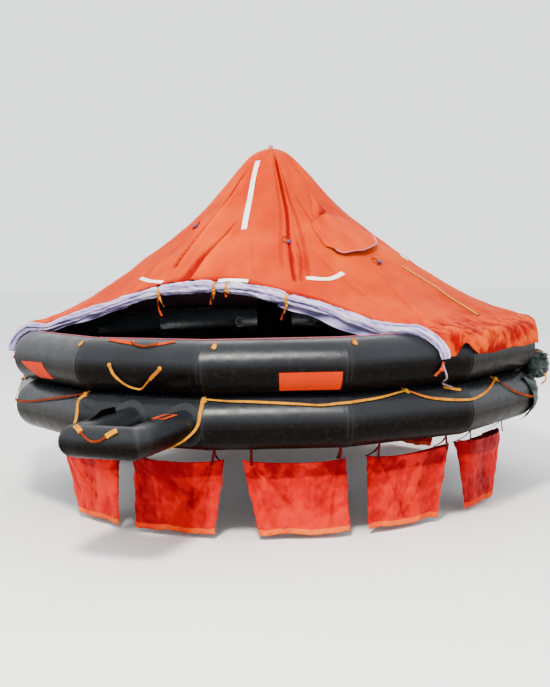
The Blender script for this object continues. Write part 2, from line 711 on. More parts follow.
def crease_field(x, y, lines=CREASE_LINES):
    """Height and depth of colour from folds at points in plan, as arrays."""
    total = np.zeros_like(x)
    tint = np.zeros_like(x)
    for xy, depth, start, end in lines:
        lengths = np.hypot(*np.diff(xy, axis=0).T)
        whole = lengths.sum()
        best = np.full_like(x, 9.0)
        share = np.zeros_like(x)
        cross = np.zeros_like(x)
        done = 0.0
        for p, q, length in zip(xy, xy[1:], lengths):
            d = (q - p) / length
            t = np.clip((x - p[0]) * d[0] + (y - p[1]) * d[1], 0, length)
            ox = x - p[0] - d[0] * t
            oy = y - p[1] - d[1] * t
            away = np.hypot(ox, oy)
            nearer = away < best
            best = np.where(nearer, away, best)
            share = np.where(nearer, (done + t) / whole, share)
            cross = np.where(nearer, oy * d[0] - ox * d[1], cross)
            done += length
        width = start + (end - start) * share
        fade = np.clip(share / 0.10, 0, 1) * np.clip((1 - share) / 0.06, 0, 1) ** 0.5
        core = np.exp(-(best / width) ** 2)
        lips = np.exp(-(np.abs(cross / width) - 1.5) ** 2 * 1.5) * np.where(cross > 0, 0.65, 0.35)
        total += (abs(depth) * lips - depth * core) * fade
        if depth > 0:
            tint += 1.3 * smooth_step(1.35, 0.75, best / width) * fade * min(1.0, (depth / 0.020) ** 1.5)
            tint -= 0.35 * np.exp(-(cross / width - 1.7) ** 2 * 2) * fade * min(1.0, depth / 0.02)
    return total, np.clip(tint, -1, 1)


def tent_offset(s, at):
    """How far the cloth stands off its plain profile, and its depth of colour, as arrays."""
    r = np.interp(s, PROFILE_S, PROFILE_R)
    a = np.radians(at)
    x = np.sin(a) * r
    y = -np.cos(a) * r
    out, tint = crease_field(x, y)
    gather = np.exp(-((r - 0.26) / 0.22) ** 2) * np.clip(r / 0.10, 0, 1)
    pleat = np.sin(a * 9 + 0.8 * np.sin(a * 2)) * 0.5 + np.sin(a * 17 + 1.3) * 0.3
    out = out + 0.007 * gather * pleat
    tint = tint + 0.35 * gather * np.clip(-pleat - 0.2, 0, 1)
    seam = np.exp(-(((at - PHASE) % SIDE_STEP - SIDE_STEP / 2) * np.radians(1.0) * r / 0.004) ** 2)
    gore = np.cos(np.radians((at - PHASE) * SIDES))
    belly = np.clip(r / 0.5, 0, 1) * np.clip((1.85 - r) / 0.4, 0, 1)
    out = out - 0.007 * belly * (1 + gore) / 2 + 0.0012 * seam * np.clip(r / 0.4, 0, 1)
    ease = crumple(x, y, 31, 2.2)
    fine = crumple(x, y, 32, 9.0)
    out = out + (0.0060 * ease + 0.0012 * fine) * np.clip(r / 0.5, 0, 1)
    tint = tint - 0.55 * np.clip(ease, 0, 1) + 0.22 * np.clip(-ease, 0, 1) - 0.10 * fine
    low = s / HEM_S
    hem = np.clip((low - 0.80) / 0.10, 0, 1)
    pucker = crumple(a * 1.9, s * 0.8, 33, 11.0, 1.6) + 0.4 * crumple(a * 4.0, s, 34, 16.0, 1.2)
    out = out + 0.0105 * hem * pucker
    tint = tint * (1 - 0.5 * hem) + hem * (0.32 - 1.4 * pucker)
    return out, np.clip(tint, -1, 1)


MAP_ROWS = 320
MAP_COLUMNS = 1080


def offset_map():
    """The tent's offsets over even steps of distance and angle."""
    s, at = np.meshgrid(np.linspace(0.0, HEM_S, MAP_ROWS), np.linspace(0.0, 360.0, MAP_COLUMNS), indexing="ij")
    return tent_offset(s, at)[0]


OFFSETS = offset_map()


def tent_point(s, at, lift=0.0):
    """A point on the dressed tent's face, with the plain profile's normal."""
    r, z, nr, nz = profile_at(s)
    i = min(MAP_ROWS - 1.001, max(0.0, s / HEM_S * (MAP_ROWS - 1)))
    j = (at % 360.0) / 360.0 * (MAP_COLUMNS - 1.001)
    i0 = int(i)
    j0 = int(j)
    above, below = (lerp(OFFSETS[k, j0], OFFSETS[k, j0 + 1], j - j0) for k in (i0, i0 + 1))
    off = float(lerp(above, below, i - i0)) + lift
    normal = direction(at) * nr + Vector((0, 0, nz))
    return place(at, squared(r, at), z) + normal * off, normal


def on_tent(at, radius, lift=0.0):
    return tent_point(float(np.interp(radius, PROFILE_R, PROFILE_S)), at, lift)


def end_s(at):
    """Where the tent's cloth ends at an angle: at the front entrance's plane, or at the hem."""
    away = abs((at + 180.0) % 360.0 - 180.0)
    if away < 70.0:
        reach = (DOOR_Y + LIP) / math.cos(math.radians(away))
        if squared(float(PROFILE_R.max()), at) > reach:
            return float(np.interp(unsquared(reach, at), PROFILE_R, PROFILE_S))
    notch = 0.085 * math.exp(-((at - 58.2) / 1.5) ** 2)
    return HEM_S - notch - 0.010 * (1 + math.sin(math.radians(at) * 23) * math.sin(math.radians(at) * 9))


def tent():
    columns = 520
    rows = 92
    angles = np.array([360.0 * j / columns for j in range(columns)])
    ends = np.array([end_s(a) for a in angles])
    verts = []
    folds = []
    uvs = []
    for i in range(rows):
        s = np.maximum(ends * (i / (rows - 1)) ** 0.92, 0.004)
        off, tint = tent_offset(s, angles)
        for j, at in enumerate(angles):
            r, z, nr, nz = profile_at(float(s[j]))
            normal = direction(at) * nr + Vector((0, 0, nz))
            verts.append(place(at, squared(r, at), z) + normal * off[j])
            uvs.append((math.radians(at) * r, s[j]))
        lip = smooth_step(0.055, 0.025, ends - s) * (ends < HEM_S - 0.12)
        folds.extend(np.clip(tint + 0.6 * lip, -1, 1))
    faces = grid_faces(rows, columns, wrap=True, flip=True)
    faces.append(tuple(range(columns)))
    nodes = ["canopy_peak"] + [f"canopy_gore_{k + 1:02d}" for k in range(SIDES)]
    made = add_piece("tent", verts, faces, [TENT, LINING], nodes, folds, uvs)
    solidify(made, 0.0025, inner=1)


def tent_strip(name, line, width, material, lift=0.003, thick=0.0015, steps=10):
    """A flat strip sewn on the tent along (angle, radius) points, draped over its folds."""
    smooth = spline([(a, r, 0.0) for a, r in line], steps)
    both = [on_tent(p.x, p.y) for p in smooth]
    points = [p for p, _ in both]
    columns = 9
    verts = []
    uvs = []
    run = 0.0
    for i, along in enumerate(line_frames(points)):
        side = both[i][1].cross(along).normalized()
        for j in range(columns):
            spot = points[i] + side * width * (j / (columns - 1) - 0.5)
            at = math.degrees(math.atan2(spot.x, -spot.y))
            radius = unsquared(math.hypot(spot.x, spot.y), at)
            verts.append(on_tent(at, radius, lift)[0])
            uvs.append((width * j / (columns - 1), run))
        run += (points[min(i + 1, len(points) - 1)] - points[i]).length
    made = add_piece(name, verts, grid_faces(len(points), columns), material, uvs=uvs)
    solidify(made, thick, 0.0)
    return made


def tent_marks():
    """White reflective strips, the banded cord, toggles and seams on the tent."""
    strips = (
        ("strip_peak", ((-7.8, 0.205), (1.0, 0.45), (5.6, 0.720)), 0.042),
        ("strip_middle", ((3.8, 1.200), (9.0, 1.196), (14.0, 1.210)), 0.034),
        ("strip_right", ((32.5, 1.190), (40.0, 1.205), (46.6, 1.150)), 0.036),
        ("strip_left", ((-32.8, 1.170), (-24.5, 1.200), (-16.6, 1.215)), 0.032),
        ("strip_side", ((90.2, 1.015), (93.1, 1.058)), 0.045),
        ("strip_back_left", ((176.0, 1.05), (186.0, 1.06), (196.0, 1.05)), 0.038),
        ("strip_back_peak", ((186.0, 0.22), (184.0, 0.46), (182.0, 0.74)), 0.042),
        ("strip_far_side", ((262.0, 1.03), (268.0, 1.05), (274.0, 1.03)), 0.038),
    )
    for name, line, width in strips:
        tent_strip(name, line, width, WHITE)
    route = ((78.0, 1.120), (80.0, 1.250), (80.2, 1.391), (79.4, 1.550), (77.3, 1.708))
    points = [on_tent(p.x, p.y, 0.008)[0] for p in spline([(a, r, 0.0) for a, r in route], 8)]
    made = round_line("side_cord", points, 0.006, CORD_BANDS)
    for number, (at, radius) in enumerate(((66.0, 1.074), (-35.4, 0.675), (29.6, 0.835), (201.0, 0.90))):
        toggle(number + 1, at, radius)


def toggle(number, at, radius):
    """A toggle on a short loop of cord."""
    spot, normal = on_tent(at, radius, 0.012)
    ball(f"toggle_{number}", spot, 0.020, PURPLE, 0.7, normal)
    ring = [on_tent(at + 1.6 * math.cos(t) - 1.4, radius + 0.030 * math.sin(t) - 0.01, 0.006)[0]
            for t in [2 * math.pi * k / 16 for k in range(16)]]
    round_line(f"toggle_loop_{number}", ring, 0.0030, RUST_TAPE, 6, closed=True)


def hood():
    """The hood over the lookout port, its lower edge standing open."""
    edge_u = [u for u, _ in HOOD_EDGE]
    edge_r = [r for _, r in HOOD_EDGE]
    rows = 26
    columns = 60
    verts = []
    folds = []
    uvs = []
    for i in range(rows):
        v = i / (rows - 1)
        for j in range(columns):
            u = 2 * j / (columns - 1) - 1
            near = 0.58 + 0.10 * u * u
            radius = lerp(near, float(np.interp(u, edge_u, edge_r)), v)
            open_wide = math.sqrt(max(0.0, 1 - u * u))
            lift = 0.005 + 0.040 * v ** 2.2 * open_wide + 0.012 * math.sin(math.pi * v) * open_wide
            crumple = math.sin(9 * u + 3 * v) * math.sin(5 * v + 1)
            verts.append(on_tent(HOOD_AT + HOOD_SPREAD * u, radius, lift + 0.003 * crumple * v)[0])
            folds.append(0.25 * crumple - 0.35 * v * open_wide + 0.6 * (v < 0.04))
            uvs.append((u * 0.35, v * 0.42))
    faces = grid_faces(rows, columns, flip=True)
    made = add_piece("hood", verts, faces, [TENT, LINING], ("lookout_hood",), folds, uvs)
    solidify(made, 0.0025, 0.0, inner=1)
    lip = [verts[(rows - 1) * columns + j] for j in range(4, columns - 3)]
    fat = [0.005 + 0.009 * max(0.0, j / len(lip) - 0.45) for j in range(len(lip))]
    round_line("hood_piping", lip, fat, PINK, 8)
    pinch = []
    shade = []
    for i in range(9):
        for j in range(17):
            u = j / 16
            v = i / 8
            radius = lerp(lerp(0.575, 0.395, u), lerp(0.640, 0.560, u), v)
            rise = 0.004 + 0.030 * math.sin(math.pi * v) * math.sin(math.pi * min(1.0, u * 1.1)) ** 2
            pinch.append(on_tent(lerp(51.5, 66.0, u), radius, rise)[0])
            shade.append(0.9 * math.exp(-((v - 0.8) / 0.25) ** 2) * u)
    tent_strip("hood_shade", ((55.5, 0.600), (60.0, 0.588), (64.0, 0.570)), 0.034, DEEP_CLOTH, lift=0.016)
    made = add_piece("hood_pinch", pinch, grid_faces(9, 17, flip=True), TENT, folds=shade)
    solidify(made, 0.0025, 0.0)


def rear_flap():
    """The rear entrance's curtain, let down and laced over the tent."""
    rows = 30
    columns = 120
    spread = 50.0
    verts = []
    folds = []
    for i in range(rows):
        v = i / (rows - 1)
        for j in range(columns):
            u = 2 * j / (columns - 1) - 1
            away = u * spread
            near = min(1.93, unsquared(1.16 / math.cos(math.radians(away)), 180 + away))
            start = float(np.interp(near, PROFILE_R, PROFILE_S))
            s = lerp(start, HEM_S - 0.006 - 0.012 * math.sin(u * 19), v)
            crumple = math.sin(17 * u + 2 * v) * math.sin(4 * v + 0.5) + 0.5 * math.sin(41 * u)
            lift = 0.005 + 0.003 * crumple * math.sin(math.pi * min(1, v + 0.1)) ** 2
            verts.append(tent_point(s, 180 + away, lift)[0])
            folds.append(0.35 * crumple + (0.5 if v > 0.95 or abs(u) > 0.985 else 0.0))
    made = add_piece("rear_flap", verts, grid_faces(rows, columns, flip=True), [TENT, LINING],
                     folds=folds)
    solidify(made, 0.0022, 0.0, inner=1)
    top = [(180 + 46 * u, 1.14 / math.cos(math.radians(46 * u))) for u in (-1, -0.6, -0.2, 0.2, 0.6, 1)]
    tent_strip("rear_flap_tape", [(a, unsquared(r, a)) for a, r in top], 0.030, ORANGE_TAPE, lift=0.010)
    for k, away in enumerate((-30, -15, 0, 15, 30)):
        reach = 1.16 / math.cos(math.radians(away))
        tent_strip(f"rear_tie_{k + 1}", ((180 + away, reach - 0.06), (180.4 + away, reach + 0.12)), 0.022, AMBER,
                   lift=0.014)


# Front curtain, rolled up along the entrance

def roll_size(x):
    return float(np.interp(x, [a for a, _ in ROLL_FAT], [b for _, b in ROLL_FAT]))


def roll_path():
    """The roll's middle line from the left foot over the entrance to the right foot."""
    halves = []
    for sign in (-1, 1):
        normal = direction(PHASE + sign * 2 * SIDE_STEP)

        def over_tube(turn):
            t = math.radians(turn)
            fat = roll_size(sign * 1.75)
            y = -(DOOR_Y + fat + 0.010)
            reach = TUBE_R + fat + ROLL_CLEAR
            x = (APOTHEM + reach * math.cos(t) - y * normal.y) / normal.x
            return Vector((x, y, HIGH_Z + reach * math.sin(t)))

        landing = over_tube(75.0)
        half = []
        for i in range(10):
            x = landing.x * i / 10
            fat = roll_size(x)
            y = -(DOOR_Y + fat + 0.004)
            height = max(tent_height(x, y) - fat - 0.002, landing.z if i > 7 else 0.0)
            half.append(Vector((x, y, height)))
        half += [over_tube(turn) for turn in (75.0, 60.0, 45.0, 30.0, 15.0, 4.0)]
        halves.append(half)
    return spline(list(reversed(halves[0]))[:-1] + halves[1], 12)


def door_roll():
    """A curtain rolled into a loose bundle, pinched by its ties."""
    path = roll_path()
    sides = 48
    angles = np.arange(sides) * 2 * math.pi / sides
    verts = []
    folds = []
    uvs = []
    run = 0.0
    for i, along in enumerate(line_frames(path)):
        up = Vector((0, -1, 0)).cross(along).normalized()
        x = path[i].x
        pinch = sum(math.exp(-((x - tie) / 0.020) ** 2) for tie, _, _ in TIES)
        swell = sum(math.exp(-((x - tie) / 0.11) ** 2) for tie, _, _ in TIES)
        loose = 1.0 + 0.07 * math.sin(9.1 * run) + 0.05 * math.sin(23.0 * run + 1.0)
        end = min(i, len(path) - 1 - i)
        size = roll_size(x) * loose * (1 - 0.34 * min(1.0, pinch)) * (1 - 0.25 * math.exp(-end / 4))
        groove = np.zeros(sides)
        for start, rate, depth, width in ((0.5, 2.3, 0.30, 0.20), (2.6, -1.7, 0.24, 0.16),
                                          (4.1, 3.1, 0.34, 0.18), (5.3, -2.6, 0.22, 0.14)):
            gap = (angles - start - 0.9 * math.sin(rate * run + start) + math.pi) % (2 * math.pi) - math.pi
            groove += depth * np.exp(-(gap / width) ** 2)
        crush = crumple(angles * 0.16, np.full(sides, run), 51, 9.0, 1.5)
        pleat = 0.09 * min(1.0, swell) * np.sin(9 * angles + 2 * math.sin(run * 5))
        reach = size * (1.05 - groove + 0.13 * crush + pleat)
        for k in range(sides):
            a = angles[k]
            verts.append(path[i] + Vector((0, 1, 0)) * math.cos(a) * reach[k] + up * math.sin(a) * reach[k])
            uvs.append((a * size, run))
        folds.extend(np.clip(2.2 * groove - 0.15 - 0.9 * crush - 2.0 * pleat, -1, 1))
        run += (path[min(i + 1, len(path) - 1)] - path[i]).length
    made = add_piece("door_curtain", verts, tube_faces(len(path), sides, False), LILAC,
                     ("front_door_roll",), folds, uvs)
    loose_fold(path, 0.50, 1.38, 1.0, "curtain_fold_right")
    loose_fold(path, -1.30, -0.62, 0.5, "curtain_fold_left")
    for number, (x, tail, twist) in enumerate(TIES):
        tie(number + 1, path, x, tail, twist)


def loose_fold(path, first, last, size, name):
    """A slack edge of the curtain that hangs out from under the roll."""
    line = [p for p in path if first <= p.x <= last]
    rows = 12
    verts = []
    folds = []
    for i in range(rows):
        v = i / (rows - 1)
        for j, p in enumerate(line):
            u = j / (len(line) - 1)
            hang = size * (0.030 + 0.034 * math.sin(math.pi * u) + 0.008 * math.sin(13 * u + 1))
            wave = 0.010 * math.sin(21 * u + 2 * v) * v + 0.012 * math.sin(9 * u)
            verts.append(p + Vector((0, 0.012 + wave * size - 0.020 * v * size, -roll_size(p.x) * 0.75 - hang * v)))
            folds.append(0.55 + 0.6 * math.sin(21 * u + 2 * v) * v - 0.5 * (v > 0.9))
    made = add_piece(name, verts, grid_faces(rows, len(line)), LILAC, folds=folds)
    solidify(made, 0.002, 0.0)


def tie(number, path, x, tail, twist):
    """A tape knotted round the roll, with two tails."""
    spot = min(path, key=lambda p: abs(p.x - x))
    reach = roll_size(x) * 0.86
    loop = [spot + Vector((0.004 * math.sin(a), math.cos(a) * reach, math.sin(a) * reach))
            for a in [2 * math.pi * k / 28 for k in range(29)]]
    normals = [p - spot for p in loop]
    ribbon(f"tie_{number}_loop", loop, normals, 0.020, AMBER, 0.003)
    knot = spot + Vector((0, -reach * 0.7, -reach * 0.75))
    ball(f"tie_{number}_knot", knot, 0.014, AMBER, 0.8)
    for k, side in enumerate((-1, 1)):
        drop = tail * (1.0 if side < 0 else 0.6)
        line = [knot + Vector((side * 0.012 * math.sin(2.2 * t) + twist * 0.05 * t * t * tail / 0.1,
                               -0.006 * math.sin(3 * t), 0.006 - drop * t))
                for t in [i / 12 for i in range(13)]]
        faces = [Vector((math.sin(2.5 * t * side), -math.cos(2.5 * t), 0.1)) for t in [i / 12 for i in range(13)]]
        width = [0.018 - 0.004 * i / 12 for i in range(13)]
        ribbon(f"tie_{number}_tail_{k + 1}", line, faces, width, AMBER if k else ORANGE_TAPE, 0.002)


# Boarding ramp

def ramp():
    """An inflated U with mitred corners, a cloth web and a handle."""
    start = APOTHEM + TUBE_R * 0.45
    corners = [Vector((-RAMP_HALF, -start, 0)), Vector((-RAMP_HALF, -RAMP_REACH, 0)),
               Vector((RAMP_HALF, -RAMP_REACH, 0)), Vector((RAMP_HALF, -start, 0))]
    sides = 48
    verts = []
    folds = []
    for number, (a, b) in enumerate(zip(corners, corners[1:])):
        along = (b - a).normalized()
        across = along.cross(Vector((0, 0, 1)))
        for i in range(25):
            share = i / 24
            near = min(share if number > 0 else 1.0, 1 - share if number < 2 else 1.0)
            size = RAMP_R * (1.0 - 0.020 * math.exp(-(near / 0.05) ** 2))
            for k in range(sides):
                t = 2 * math.pi * k / sides
                out = math.cos(t) * size
                out *= 1.0 - 0.30 * math.exp(-(near * (b - a).length / 0.085) ** 2) * (out > 0)
                cut = 0.0
                if number > 0:
                    cut += -out * (1 - share)
                if number < 2:
                    cut += out * share
                pucker = 0.003 * math.exp(-(near / 0.10) ** 2) * math.sin(13 * t) * (out < 0)
                p = a.lerp(b, share) + across * (out + pucker) + Vector((0, 0, math.sin(t) * size))
                verts.append(p - along * cut * -1.0)
                folds.append(0.9 * math.exp(-(near / 0.035) ** 2) * max(0.0, math.sin(t + 0.3)))
    faces = [tuple(reversed(f)) for f in tube_faces(75, sides, False)]
    add_piece("ramp_tube", verts, faces, RUBBER, ("boarding_ramp",), folds, sharp=14)
    half = RAMP_HALF - RAMP_R * 0.6
    far = RAMP_REACH - RAMP_R * 0.6
    low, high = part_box("ramp_web")
    web = []
    for i in range(15):
        for j in range(15):
            u = 2 * j / 14 - 1
            v = i / 14
            sag = 0.018 * (1 - u * u) * math.sin(math.pi * min(1.0, v + 0.05))
            web.append(Vector((u * half, -lerp(far, -high[1], v), 0.006 - sag + 0.002 * math.sin(9 * u + 7 * v))))
    made = add_piece("ramp_floor", web, grid_faces(15, 15), FLOOR_RUBBER, ("ramp_web",))
    solidify(made, 0.003, 0.0)
    for side in (-1, 1):
        ramp_collar(side)
    ramp_fittings()


def ramp_collar(side):
    """The reinforcing ring bonded to the lower tube round a ramp arm."""
    verts = []
    folds = []
    sides = 40
    rings = (RAMP_R * 0.96, RAMP_R + 0.004, RAMP_R + 0.038, RAMP_R + 0.040)
    for k, radius in enumerate(rings):
        for j in range(sides):
            t = 2 * math.pi * j / sides
            x = side * RAMP_HALF + math.cos(t) * radius
            z = math.sin(t) * radius
            turn = math.degrees(math.asin(max(-0.93, min(0.93, z / TUBE_R))))
            depth = APOTHEM + math.cos(math.radians(turn)) * TUBE_R
            at = math.degrees(math.atan2(x, depth))
            lift = 0.0022 if k < 3 else -0.002
            verts.append(on_tube(LOW_Z, at, turn, lift)[0])
            folds.append(0.38 if k >= 2 else 0.10)
    add_piece(f"ramp_collar_{'left' if side < 0 else 'right'}", verts, grid_faces(4, sides, wrap=True, flip=True),
              RUBBER, folds=folds, sharp=30)


def ramp_fittings():
    """Handle, tag and gusset on the ramp, and the two straps that brace it."""
    handle = []
    for x, turn in ((-0.150, 64), (-0.115, 50), (-0.065, 26), (-0.010, 12), (0.045, 18), (0.090, 38), (0.125, 54)):
        t = math.radians(turn)
        reach = RAMP_R + 0.008
        handle.append(Vector((x, -RAMP_REACH - math.cos(t) * reach, math.sin(t) * reach)))
    handle = spline(handle, 5)
    round_line("ramp_handle", handle, 0.007, RUST_TAPE)
    for k, (first, last) in enumerate(((0, 8), (23, 31))):
        line = handle[first:last]
        ribbon(f"ramp_handle_end_{k + 1}", line, [p - Vector((p.x, -RAMP_REACH, 0)) for p in line], 0.032, AMBER,
               0.012)
    tag = []
    for x, y in ((-0.034, -0.075), (0.034, -0.075), (0.034, 0.075), (-0.034, 0.075), (-0.034, -0.075)):
        tag.append(Vector((RAMP_HALF + x, -2.21 + y, math.sqrt((RAMP_R + 0.004) ** 2 - x ** 2))))
    ribbon("ramp_tag", tag, [Vector((0, 0, 1))] * 5, 0.022, ORANGE_TAPE, 0.004)
    gusset = []
    for i in range(9):
        for j in range(9):
            u = j / 8
            v = i / 8
            foot = Vector((-RAMP_HALF + 0.01, lerp(-2.47, -2.12, u), RAMP_R * 0.94))
            head = Vector((-RAMP_HALF + 0.03, lerp(-2.34, -2.19, u), RAMP_R + 0.042))
            gusset.append(foot.lerp(head, v) + Vector((0.006 * math.sin(3 * v + 5 * u), 0, 0)))
    made = add_piece("ramp_gusset", gusset, grid_faces(9, 9), COLUMN_RUBBER)
    solidify(made, 0.003, 0.0)
    left = spline([on_tube(LOW_Z, -16.7, 60.0, 0.008)[0], on_tube(LOW_Z, -16.6, 38.0, 0.030)[0],
                   Vector((-0.40, -2.22, 0.085)), Vector((-0.255, -2.47, 0.070))], 6)
    ribbon("ramp_brace_left", left, [Vector((0.3, -1, 0.6))] * len(left), 0.019, AMBER, 0.003)
    right = spline([on_tube(LOW_Z, 8.9, 60.0, 0.008)[0], on_tube(LOW_Z, 9.0, 30.0, 0.016)[0],
                    Vector((0.300, -2.02, 0.0)), Vector((0.275, -2.14, -0.055)), Vector((0.235, -2.26, -0.085))], 6)
    width = [lerp(0.026, 0.009, i / (len(right) - 1)) for i in range(len(right))]
    ribbon("ramp_brace_right", right, [Vector((0.6, -1, 0.2))] * len(right), width, AMBER, 0.003)


# Lines, tags and patches on the tubes

LIFELINE_FRONT = (
    ((9.0, 62.0), (13.0, 55.0), (17.3, 52.0), (25.7, 44.0), (29.7, 40.0), (33.7, 44.0), (41.2, 50.0), (47.4, 64.0)),
    ((47.4, 64.0), (50.0, 44.0), (53.5, 33.0), (59.8, 26.0), (66.5, 36.0), (73.1, 60.0)),
    ((73.1, 60.0), (75.7, 26.0), (81.4, 4.0), (90.0, -12.0), (98.9, -18.0), (106.0, -4.0), (111.7, 56.0)),
    ((-55.4, 58.0), (-50.0, 30.0), (-44.0, 14.0), (-38.0, 14.0), (-28.6, 30.0), (-21.0, 48.0), (-16.9, 62.0)),
)


def lifeline():
    """A tape fixed at patches round the lower tube, hanging in loops between."""
    spans = list(LIFELINE_FRONT)
    corners = [PHASE + (k + 0.5) * SIDE_STEP for k in range(4, 12)]
    corners[-1] = 360.0 - 55.4
    for a, b in zip(corners, corners[1:]):
        spans.append(((a, 56.0), (lerp(a, b, 0.2), 36.0), (lerp(a, b, 0.5), 22.0), (lerp(a, b, 0.8), 36.0), (b, 56.0)))
    for number, stations in enumerate(spans):
        points, normals = tube_line(LOW_Z, stations, 0.010, 10)
        turned = [n.lerp(Vector((0, 0, 1)), 0.35 * math.sin(i * 0.21 + number)) for i, n in enumerate(normals)]
        tint = [0.0 if number == 0 else 0.35 + 0.3 * math.sin(i * 0.13 + number) for i in range(len(points))]
        material = AMBER if number in (0, 1) else RUST_TAPE if number in (2, 3) else AMBER
        replaces = ("lifeline_outer",) if number == 0 else ()
        made = ribbon(f"lifeline_{number + 1:02d}", points, turned, 0.017, material, 0.003, replaces, tint)
        at, turn = stations[0]
        lifeline_patch(number + 1, at, turn)
    lifeline_patch(len(spans) + 1, -16.9, 61.0)


def lifeline_patch(number, at, turn):
    """The bonded patch and knot that hold one point of the lifeline."""
    wide = math.degrees(0.032 / CROWN)
    corners = ((at - wide, turn - 9), (at + wide, turn - 9), (at + wide, turn + 16), (at - wide, turn + 16))
    tube_patch(f"line_patch_{number:02d}", LOW_Z, corners, RUBBER, 0.003, 0.0, cells=6)
    spot, normal = on_tube(LOW_Z, at, turn, 0.010)
    ball(f"line_knot_{number:02d}", spot, 0.016, AMBER, 0.7, normal)
    tube_tape(f"line_tab_{number:02d}", LOW_Z, ((at - 0.2, turn + 12), (at, turn), (at + 0.4, turn - 8)), 0.022,
              AMBER, 0.006, 0.004, 4)


def upper_fittings():
    """Tags, straps, a grab loop and patches on the upper tube, and the curtain's end ties."""
    for number, (at, turn) in enumerate(((-17.4, 54.6), (-59.5, 52.4), (11.1, 54.3), (36.3, 57.0), (140.0, 52.0),
                                         (-110.0, 52.0), (232.0, 52.0))):
        tube_tape(f"tag_{number + 1}", HIGH_Z, ((at, turn + 9), (at + 0.1, turn), (at - 0.1, turn - 7)),
                  [0.020, 0.020, 0.022, 0.026, 0.030, 0.032, 0.032, 0.030, 0.024], AMBER, 0.004, 0.006, 4)
        spot, normal = on_tube(HIGH_Z, at, turn + 9, 0.004)
        ball(f"tag_knot_{number + 1}", spot, 0.010, ORANGE_TAPE, 0.6, normal)
    tube_tape("strap_left", HIGH_Z, ((-12.0, 74.0), (-9.4, 68.0), (-5.6, 61.0)),
              [0.034] * 8 + [0.040] * 9, ORANGE_TAPE, 0.004, 0.004)
    tube_tape("strap_right", HIGH_Z, ((-0.6, 58.0), (1.2, 63.0), (3.0, 71.0)), 0.026, ORANGE_TAPE, 0.004, 0.004)
    sag, _ = tube_line(HIGH_Z, ((-6.2, 62.0), (-4.6, 53.0), (-2.6, 49.0), (-1.2, 53.0), (-0.2, 59.0)), 0.010)
    round_line("strap_rope", sag, 0.007, RUST_TAPE)
    hang = [on_tube(HIGH_Z, -9.2, 5.0, 0.006)[0], on_tube(HIGH_Z, -8.2, -14.0, 0.012)[0],
            on_tube(HIGH_Z, -6.4, -33.0, 0.016)[0], on_tube(HIGH_Z, -4.4, -43.0, 0.018)[0],
            on_tube(HIGH_Z, -3.0, -41.0, 0.018)[0], on_tube(HIGH_Z, -1.0, -22.0, 0.014)[0],
            on_tube(HIGH_Z, 1.4, 1.0, 0.006)[0]]
    line = spline(hang, 6)
    tint = [0.0 if i < 24 else 0.8 for i in range(len(line))]
    width = [0.012 + 0.008 * (i < 9) + 0.012 * (i > 30) for i in range(len(line))]
    ribbon("grab_loop", line, [direction(-4)] * len(line), width, AMBER, 0.005, (), tint)
    for k, (at, turn) in enumerate(((-9.2, 6.0), (1.4, 2.0))):
        spot, normal = on_tube(HIGH_Z, at, turn, 0.006)
        ball(f"grab_knot_{k + 1}", spot, 0.015, AMBER, 0.6, normal)
    corners = ((-39.5, -6.0), (-30.4, -2.0), (-27.6, -42.0), (-34.0, -46.0))
    tube_patch("orange_patch", HIGH_Z, corners, SIGN)
    corners = ((22.6, -52.0), (33.4, -52.0), (33.4, -7.0), (22.6, -7.0))
    tube_patch("sign", HIGH_Z, corners, SIGN, 0.0035, replaces=("sign_patch",))
    tube_tape("inner_edge", HIGH_Z, [(a, 93.0) for a in range(-52, 53, 8)], 0.010, PINK, 0.003, 0.004)
    for name, sign in (("right", 1), ("left", -1)):
        points = [(53.4, -2.0), (53.0, -16.0), (52.0, -30.0)] if sign > 0 else [(-56.0, 2.0), (-57.0, -14.0), (-58.0, -26.0)]
        tube_tape(f"roll_end_{name}", HIGH_Z, points, 0.020, ORANGE_TAPE, 0.016, 0.003)
        spot, normal = on_tube(HIGH_Z, points[1][0], points[1][1], 0.022)
        ball(f"roll_end_knot_{name}", spot, 0.016, ORANGE_TAPE, 0.7, normal)
    hook = [on_tube(HIGH_Z, -62.0, -30.0 - 22 * k, 0.012 + 0.05 * math.sin(k * 0.8))[0] for k in range(4)]
    round_line("side_hook", spline(hook, 6), 0.006, COLUMN_RUBBER, 8)
    for k, (at, turn) in enumerate(((-63.0, 62.0), (-64.0, 48.0))):
        spot, normal = on_tube(LOW_Z, at, turn, 0.010)
        ball(f"side_knot_{k + 1}", spot, 0.022 - 0.006 * k, ORANGE_TAPE, 0.8, normal)
    lace = spline([on_tube(HIGH_Z, 53.2, -8.0, 0.022)[0], on_tube(HIGH_Z, 54.6, -34.0, 0.024)[0],
                   on_tube(LOW_Z, 56.2, 74.0, 0.020)[0], on_tube(LOW_Z, 57.6, 60.0, 0.008)[0]], 8)
    round_line("end_lace", lace, 0.006, WHITE_CORD)
    tube_tape("lace_patch", LOW_Z, ((56.0, 66.0), (57.5, 58.0), (59.0, 52.0)), 0.026, AMBER, 0.004, 0.004)


